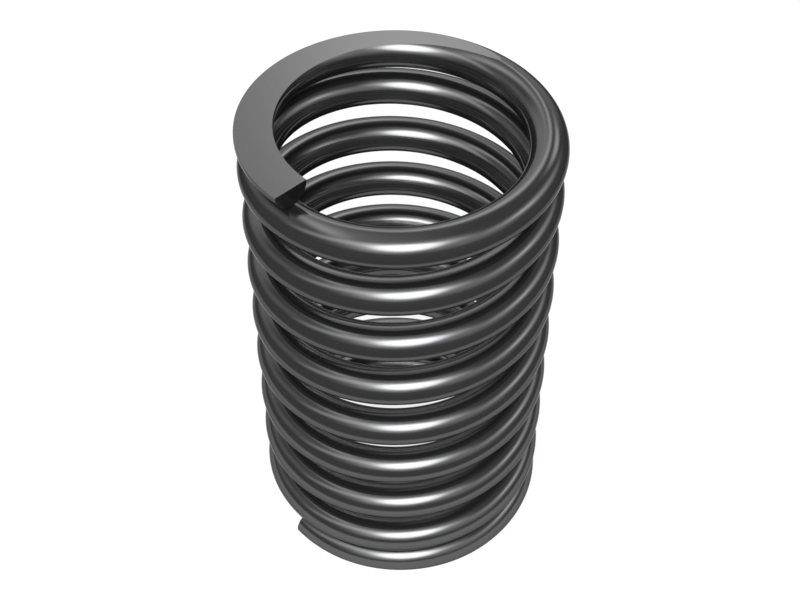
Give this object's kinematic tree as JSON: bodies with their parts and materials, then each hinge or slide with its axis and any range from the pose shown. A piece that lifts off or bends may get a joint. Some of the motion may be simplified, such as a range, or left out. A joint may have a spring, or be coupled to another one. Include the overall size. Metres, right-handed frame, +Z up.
{
  "type": "compression spring",
  "caption": "Helical compression spring of round steel wire, with closed and ground ends that stand square and push back along the coil's axis.",
  "frame": {"origin": "centre of the coil's axis on the plane of the lower ground face", "axes": "+Z up along the coil's axis to the upper ground face; the upper cut end lies at 225.1 degrees from +X towards +Y, and the lower one at 220.4 degrees"},
  "size_m": [0.0338, 0.0338, 0.0544],
  "materials": {
    "spring_wire": "dark oil-tempered drawn wire, satin gloss, with matte ground end faces"
  },
  "bodies": {
    "root": {"coil_spring": "spring_wire"}
  },
  "joints": []
}
